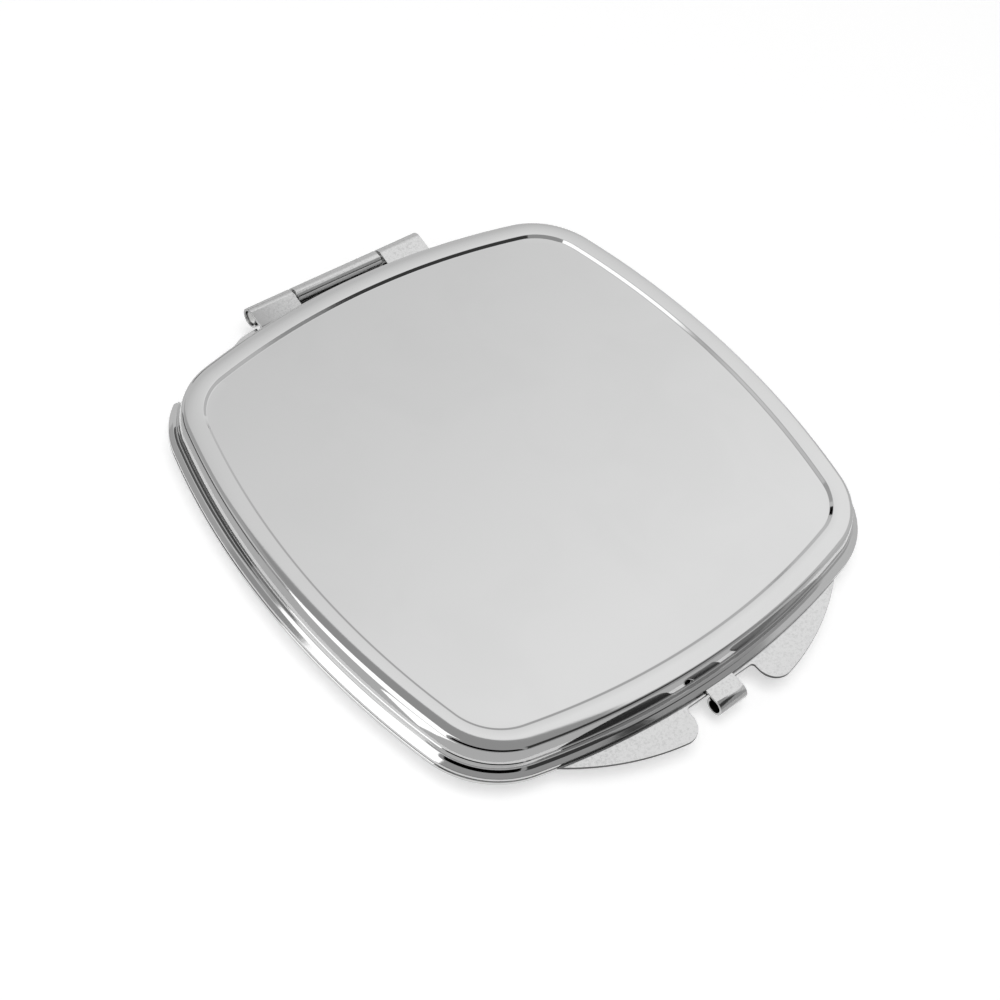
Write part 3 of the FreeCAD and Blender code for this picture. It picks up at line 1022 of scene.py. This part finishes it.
@dataclass
class SurfaceMarks:
    """The marks that several finishes share, each a node group that is built once."""

    hairlines: NodeTree
    handling: NodeTree

    @classmethod
    def make(cls) -> SurfaceMarks:
        """Builds both groups."""
        return cls(cls.make_hairlines(), cls.make_handling())

    @staticmethod
    def make_hairlines() -> NodeTree:
        """Fine lines along one direction of the sheet, some deeper than the rest.

        Returns:
            The group's tree.
        """
        inputs = [("Lines per metre", 9000.0), ("Stretch", 40.0), ("Turn", 0.0)]
        sheet, given = new_group("polishing_hairlines", inputs, ["Lines", "Deep lines"])
        where = sheet.add("ShaderNodeTexCoord").outputs["Object"]
        angle = sheet.add("ShaderNodeCombineXYZ", {"Z": given.outputs["Turn"]}).outputs[0]
        turned = sheet.add(
            "ShaderNodeVectorRotate", {"Vector": where, "Rotation": angle}, rotation_type="EULER_XYZ"
        )
        across = given.outputs["Lines per metre"]
        along = sheet.math("DIVIDE", across, given.outputs["Stretch"])
        scale = sheet.add("ShaderNodeCombineXYZ", {"X": along, "Y": across, "Z": across})
        stretched = sheet.add(
            "ShaderNodeVectorMath", {0: turned.outputs[0], 1: scale.outputs[0]}, operation="MULTIPLY"
        ).outputs[0]
        fine = sheet.add("ShaderNodeTexNoise", {"Vector": stretched, "Scale": 1.0, "Detail": 3.0})
        coarse = sheet.add("ShaderNodeTexNoise", {"Vector": stretched, "Scale": 0.23, "Detail": 1.0})
        deep = sheet.span(coarse.outputs["Fac"], low=0.66, high=0.78)
        sheet.add("NodeGroupOutput", {"Lines": fine.outputs["Fac"], "Deep lines": deep})
        return sheet.tree

    @staticmethod
    def make_handling() -> NodeTree:
        """The faint film that fingers leave, and the slight unevenness of plating under it.

        Returns:
            The group's tree.
        """
        inputs = [("Patches per metre", 90.0), ("Ripples per metre", 700.0)]
        sheet, given = new_group("handling_film", inputs, ["Film", "Ripple"])
        where = sheet.add("ShaderNodeTexCoord").outputs["Object"]
        patches = given.outputs["Patches per metre"]
        broad = sheet.add(
            "ShaderNodeTexNoise", {"Vector": where, "Scale": patches, "Detail": 4.0, "Distortion": 0.6}
        )
        film = sheet.span(broad.outputs["Fac"], low=0.42, high=0.72)
        ripples = given.outputs["Ripples per metre"]
        ripple = sheet.add("ShaderNodeTexNoise", {"Vector": where, "Scale": ripples, "Detail": 1.0})
        sheet.add("NodeGroupOutput", {"Film": film, "Ripple": ripple.outputs["Fac"]})
        return sheet.tree


def blank_material(name: str) -> tuple[Material, Sheet]:
    """Starts a material with no nodes.

    Args:
        name: Name of the material.

    Returns:
        The material and its sheet.
    """
    material = bpy.data.materials.new(name)
    material.use_nodes = True
    return material, Sheet(material.node_tree)


def new_material(name: str) -> tuple[Material, Sheet, Node]:
    """Starts a material with a Principled shader on its surface.

    Args:
        name: Name of the material.

    Returns:
        The material, its sheet and its shader.
    """
    material, sheet = blank_material(name)
    shader = sheet.add("ShaderNodeBsdfPrincipled")
    sheet.add("ShaderNodeOutputMaterial", {"Surface": shader.outputs["BSDF"]})
    return material, sheet, shader


@dataclass(frozen=True)
class MetalFinish:
    """A bright metal with hairlines and a film of handling."""

    name: str
    clean: Triple
    marked: Triple
    roughness: float
    hairline_roughness: float
    film_roughness: float
    lines_per_metre: float
    stretch: float
    bump: float
    turn: float = 0.0
    bump_depth: float = 0.02
    patches_per_metre: float = 90.0
    # Near-black colour painted as shade where the face layer of painted shade is set, with more roughness
    # there.
    painted_shade: Triple | None = None
    painted_shade_roughness: float = 0.3
    deep_line_height: float = -0.6
    ripple_height: float = 0.5

    def make(self, marks: SurfaceMarks) -> Material:
        """Builds the material.

        Args:
            marks: The shared marks.

        Returns:
            The material.
        """
        material, sheet, shader = new_material(self.name)
        inputs = {"Lines per metre": self.lines_per_metre, "Stretch": self.stretch, "Turn": self.turn}
        lines = sheet.add("ShaderNodeGroup", node_tree=marks.hairlines, inputs=inputs)
        inputs = {"Patches per metre": self.patches_per_metre}
        film = sheet.add("ShaderNodeGroup", node_tree=marks.handling, inputs=inputs)
        rough = sheet.math("MULTIPLY_ADD", lines.outputs["Lines"], self.hairline_roughness, self.roughness)
        rough = sheet.math("MULTIPLY_ADD", film.outputs["Film"], self.film_roughness, rough)
        deep = lines.outputs["Deep lines"]
        height = sheet.math("MULTIPLY_ADD", deep, self.deep_line_height, lines.outputs["Lines"])
        height = sheet.math("MULTIPLY_ADD", film.outputs["Ripple"], self.ripple_height, height)
        relief = {"Height": height, "Strength": self.bump, "Distance": self.bump_depth * MM}
        normal = sheet.add("ShaderNodeBump", relief).outputs["Normal"]
        colour = sheet.blend(film.outputs["Film"], self.clean, self.marked)
        # Painted shade: the face layer of painted shade mixes the colour towards near black and adds
        # roughness.
        if self.painted_shade is not None:
            mask = sheet.add("ShaderNodeAttribute", attribute_name="painted_shade").outputs["Fac"]
            rough = sheet.math("MULTIPLY_ADD", mask, self.painted_shade_roughness, rough)
            colour = sheet.blend(mask, colour, self.painted_shade)
        sheet.fill(shader, {"Base Color": colour, "Roughness": rough, "Normal": normal, "Metallic": 1.0})
        return material


@dataclass(frozen=True)
class SilveredGlass:
    """The mirrors: silver seen through clear glass, with a trace of a wiped film."""

    name: str = "silvered_glass"
    clean: Triple = (0.86, 0.88, 0.875)
    marked: Triple = (0.82, 0.84, 0.835)
    roughness: float = 0.012
    film_roughness: float = 0.035
    patches_per_metre: float = 60.0

    def make(self, marks: SurfaceMarks) -> Material:
        """Builds the material.

        Args:
            marks: The shared marks.

        Returns:
            The material.
        """
        material, sheet, shader = new_material(self.name)
        inputs = {"Patches per metre": self.patches_per_metre}
        film = sheet.add("ShaderNodeGroup", node_tree=marks.handling, inputs=inputs).outputs["Film"]
        colour = sheet.blend(film, self.clean, self.marked)
        rough = sheet.math("MULTIPLY_ADD", film, self.film_roughness, self.roughness)
        sheet.fill(shader, {"Base Color": colour, "Roughness": rough, "Metallic": 1.0})
        return material


@dataclass(frozen=True)
class FoamTape:
    """The foam tape behind the mirrors, with its cells."""

    name: str = "foam_tape"
    clean: Triple = (0.82, 0.82, 0.8)
    marked: Triple = (0.66, 0.66, 0.63)
    roughness: float = 0.9
    cells_per_metre: float = 4200.0
    bump: float = 0.4
    bump_depth: float = 0.05

    def make(self) -> Material:
        """Builds the material.

        Returns:
            The material.
        """
        material, sheet, shader = new_material(self.name)
        where = sheet.add("ShaderNodeTexCoord").outputs["Object"]
        cells = sheet.add("ShaderNodeTexVoronoi", {"Vector": where, "Scale": self.cells_per_metre})
        depth = cells.outputs["Distance"]
        relief = {"Height": depth, "Strength": self.bump, "Distance": self.bump_depth * MM}
        normal = sheet.add("ShaderNodeBump", relief).outputs["Normal"]
        colour = sheet.blend(depth, self.clean, self.marked)
        sheet.fill(shader, {"Base Color": colour, "Roughness": self.roughness, "Normal": normal})
        return material


class Card(Enum):
    """How bright a card beside the object is, where 1 is white."""

    WHITE = 2.0
    GREY = 0.8
    MID = 0.58
    DIM = 0.15
    DARK = 0.06
    BLACK = 0.0


# Each card's corners as seen from the object, each an azimuth and an elevation in degrees.
CARDS = {
    "white_strip": (Card.WHITE, ((161, 0), (193, 0), (184, 66), (134, 62))),
    "white_top": (Card.WHITE, ((134, 62), (184, 66), (186, 79), (122, 72))),
    "dark_figure": (Card.BLACK, ((195, 15), (262, 15), (262, 46), (195, 50))),
    "dark_front": (Card.DARK, ((264, 12), (318, 38), (309, 57), (274, 57))),
    "dark_left": (Card.DIM, ((112, 2), (150, 2), (150, 24), (112, 22))),
    "dark_rear": (Card.BLACK, ((66, 19), (87, 19), (86, 27), (80, 28))),
    "grey_rear": (Card.MID, ((92, 30), (122, 30), (124, 60), (90, 60))),
    "grey_right": (Card.GREY, ((-42, 0), (23, 0), (12, 24), (-40, 46))),
}
# The card that lies beside the near corner, in millimetres.
WHITE_PATCH = ((-38, -12), (-34, -18), (-46, -31), (-60, -18))


@dataclass
class Studio:
    """Floor, surroundings, reflecting cards and the camera at the photograph's angle."""

    aim: Triple = (0.0, 0.25, 2.42)
    azimuth: float = math.radians(-49.855)
    elevation: float = math.radians(50.802)
    roll: float = math.radians(13.288)
    distance: float = 174.875
    focal_pixels: float = 1661.5
    offset_pixels: Point = (16.24, -21.88)
    picture: float = 1000.0
    card_distance: float = 320.0
    patch_rise: float = 0.6
    sheet_rise: float = 0.3
    sheet_span: Point = (4.5, 300.0)
    sheet_grey: float = 0.7
    room: float = 0.46
    fill: float = 0.35
    backdrop: float = 1.17
    backdrop_slope: Triple = (0.157, -1.017, 0.447)
    backdrop_span: Point = (0.84, 1.3)
    backdrop_way: Triple = (0.47, 0.88, 0.0)
    backdrop_side: Point = (0.02, 0.14)
    backdrop_rise: Triple = (-0.1225, 0.0452, 0.9914)
    backdrop_top: Point = (0.836, 0.854)
    floor_reach: float = 3.0
    floor_colour: Triple = (0.9, 0.9, 0.9)
    floor_white: float = 0.4
    window_watts: float = 2.0
    window_size: float = 0.5
    window_way: Triple = (-0.2, -0.17, 0.97)
    window_distance: float = 0.7
    sensor_width: float = 36.0
    nearest: float = 0.01

    def build(self) -> None:
        """Sets the whole stage."""
        bpy.context.scene.view_settings.view_transform = "Standard"
        self.make_floor()
        self.make_surroundings()
        for name, (card, corners) in CARDS.items():
            self.stand(name, card.value, self.card_spots(corners))
        spots = [Vector((*corner, self.patch_rise)) * MM for corner in WHITE_PATCH]
        self.stand("white_patch", Card.WHITE.value, spots)
        self.make_sheet()
        self.make_window()
        self.make_camera()

    def make_floor(self) -> None:
        """A white table top that keeps the object's soft shadow."""
        reach = self.floor_reach
        mesh = bpy.data.meshes.new("table_top")
        corners = [(-reach, -reach, 0), (reach, -reach, 0), (reach, reach, 0), (-reach, reach, 0)]
        mesh.from_pydata(corners, [], QUAD)
        material, sheet = blank_material("table_white")
        matt = sheet.add("ShaderNodeBsdfDiffuse", {"Color": (*self.floor_colour, 1.0)})
        strength = sheet.math("MULTIPLY", sheet.seen(), self.floor_white)
        white = sheet.add("ShaderNodeEmission", {"Strength": strength})
        both = sheet.add("ShaderNodeAddShader", {0: matt.outputs[0], 1: white.outputs[0]})
        sheet.add("ShaderNodeOutputMaterial", {"Surface": both.outputs[0]})
        mesh.materials.append(material)
        put("table_top", mesh)

    def make_surroundings(self) -> None:
        """A grey room with a pale backdrop on the far side of the object."""
        world = bpy.data.worlds.new("studio")
        bpy.context.scene.world = world
        world.use_nodes = True
        sheet = Sheet(world.node_tree)
        where = sheet.add("ShaderNodeTexCoord").outputs["Generated"]
        behind = sheet.span(sheet.dot(where, self.backdrop_way), *self.backdrop_side)
        below_top = sheet.span(sheet.dot(where, self.backdrop_rise), *self.backdrop_top, 1.0, 0.0)
        slope = sheet.math("ADD", sheet.dot(where, self.backdrop_slope), self.backdrop)
        darkest, palest = self.backdrop_span
        pale = sheet.math("MINIMUM", sheet.math("MAXIMUM", slope, darkest), palest)
        shown = sheet.math("MULTIPLY", behind, below_top)
        level = sheet.math("MULTIPLY_ADD", shown, sheet.math("SUBTRACT", pale, self.room), self.room)
        beyond_fill = sheet.math("SUBTRACT", level, self.fill)
        level = sheet.math("MULTIPLY_ADD", sheet.seen(), beyond_fill, self.fill)
        background = sheet.add("ShaderNodeBackground", {"Color": (1.0, 1.0, 1.0, 1.0), "Strength": level})
        sheet.add("ShaderNodeOutputWorld", {"Surface": background.outputs[0]})

    def card_spots(self, corners: Sequence[Point]) -> list[Vector]:
        """Finds the corners of a card that stands round the object.

        Args:
            corners: Its corners as seen from the object, each an azimuth and an elevation in degrees.

        Returns:
            The corners in the frame.
        """
        spots = []
        for azimuth, elevation in corners:
            turn, rise = math.radians(azimuth), math.radians(elevation)
            way = (math.cos(rise) * math.cos(turn), math.cos(rise) * math.sin(turn), math.sin(rise))
            spots.append(Vector(way) * self.card_distance * MM)
        return spots

    def make_sheet(self) -> None:
        """Lays a grey sheet round the object that only reflections show."""
        plan = CasePlan()
        stations = plan.stations()
        outline = [station.at(-out) for out in self.sheet_span for station in stations]
        spots = [Vector((across, along + plan.shift, self.sheet_rise)) * MM for across, along in outline]
        around = len(stations)
        pairs = [(count, (count + 1) % around) for count in range(around)]
        faces = [(first, second, around + second, around + first) for first, second in pairs]
        self.stand("grey_sheet", self.sheet_grey, spots, faces)

    def stand(self, name: str, strength: float, spots: Sequence[Vector], faces: Sequence = QUAD) -> None:
        """Stands something on the stage that shines evenly and that only reflections show.

        Args:
            name: Its name.
            strength: How bright it is, where 1 is white.
            spots: Its corners, in the frame.
            faces: The numbers of each face's corners.
        """
        mesh = bpy.data.meshes.new(name)
        mesh.from_pydata(spots, [], faces)
        material, sheet = blank_material(name)
        light = sheet.add("ShaderNodeEmission", {"Strength": strength})
        sheet.add("ShaderNodeOutputMaterial", {"Surface": light.outputs[0]})
        mesh.materials.append(material)
        stood = put(name, mesh)
        stood.visible_camera = False
        stood.visible_diffuse = False
        stood.visible_shadow = False

    def make_window(self) -> None:
        """Adds the broad soft light above the object that draws its shadow on the table."""
        light = bpy.data.lights.new("window", "AREA")
        light.shape = "DISK"
        light.size = self.window_size
        light.energy = self.window_watts
        stood = put("window", light)
        way = Vector(self.window_way)
        stood.location = way * self.window_distance
        stood.rotation_euler = way.to_track_quat("Z", "Y").to_euler()
        stood.visible_glossy = False

    def make_camera(self) -> None:
        """Puts the camera where the photograph was taken from."""
        level = math.cos(self.elevation)
        ahead, aside = math.cos(self.azimuth), math.sin(self.azimuth)
        back = Vector((aside * level, -ahead * level, math.sin(self.elevation)))
        right = Vector((ahead, aside, 0.0))
        up = back.cross(right)
        cosine, sine = math.cos(self.roll), math.sin(self.roll)
        right, up = right * cosine + up * sine, up * cosine - right * sine
        place = (Vector(self.aim) + back * self.distance) * MM
        camera = bpy.data.cameras.new("camera")
        camera.sensor_width = self.sensor_width
        camera.lens = self.focal_pixels / self.picture * camera.sensor_width
        camera.shift_x = -self.offset_pixels[0] / self.picture
        camera.shift_y = self.offset_pixels[1] / self.picture
        camera.clip_start = self.nearest
        stood = put("camera", camera)
        stood.matrix_world = Matrix.Translation(place) @ Matrix((right, up, back)).transposed().to_4x4()
        bpy.context.scene.camera = stood


def finishes(marks: SurfaceMarks) -> dict[str, Material]:
    """Makes every finish of the part, by its slot in the record.

    Args:
        marks: The shared marks.

    Returns:
        The materials by slot.
    """
    chrome = MetalFinish(
        name="bright_chrome",
        clean=(0.55, 0.55, 0.55),
        marked=(0.54, 0.54, 0.54),
        roughness=0.045,
        hairline_roughness=0.03,
        film_roughness=0.02,
        lines_per_metre=7000.0,
        stretch=60.0,
        bump=0.02,
        turn=0.5,
    )
    satin = MetalFinish(
        name="satin_sheet",
        clean=(0.54, 0.54, 0.54),
        marked=(0.48, 0.48, 0.48),
        roughness=0.1,
        hairline_roughness=0.06,
        film_roughness=0.04,
        lines_per_metre=9000.0,
        stretch=45.0,
        bump=0.1,
        patches_per_metre=3800.0,
        # Painted shade: near black on the plates' cut edges and inside their rolls.
        painted_shade=(0.015, 0.015, 0.015),
    )
    wire = MetalFinish(
        name="drawn_wire",
        clean=(0.7, 0.7, 0.7),
        marked=(0.62, 0.62, 0.61),
        roughness=0.14,
        hairline_roughness=0.1,
        film_roughness=0.06,
        lines_per_metre=12000.0,
        stretch=80.0,
        bump=0.08,
    )
    return {
        "polished_chrome": chrome.make(marks),
        "satin_plate": satin.make(marks),
        "pin_wire": wire.make(marks),
        "mirror_glass": SilveredGlass().make(marks),
        "mirror_pad": FoamTape().make(),
    }


def dress_node(node: Object, material: Material) -> None:
    """Gives a CAD node that stays in view its finish.

    Args:
        node: The node's object.
        material: The finish.
    """
    node.data.materials.clear()
    node.data.materials.append(material)
    LOG.info("%s keeps its solid", node.name)


def main() -> None:
    """Builds the part, its finishes and the studio."""
    logging.basicConfig(level=logging.INFO, format="%(message)s")
    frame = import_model()
    finish = finishes(SurfaceMarks.make())
    plan = CasePlan()
    shell = PressedShell(plan)
    for half in Half:
        shell.build(half, finish["polished_chrome"])
        dress_node(frame["nodes"][f"{half.value}_mirror"], finish["mirror_glass"])
        dress_node(frame["nodes"][f"{half.value}_mirror_pad"], finish["mirror_pad"])
    LidPlate(plan).build(Half.LID, finish["satin_plate"])
    BasePlate(plan).build(Half.BASE, finish["satin_plate"])
    HingePin(plan).build(finish["pin_wire"])
    Studio().build()


if __name__ == "__main__":
    main()
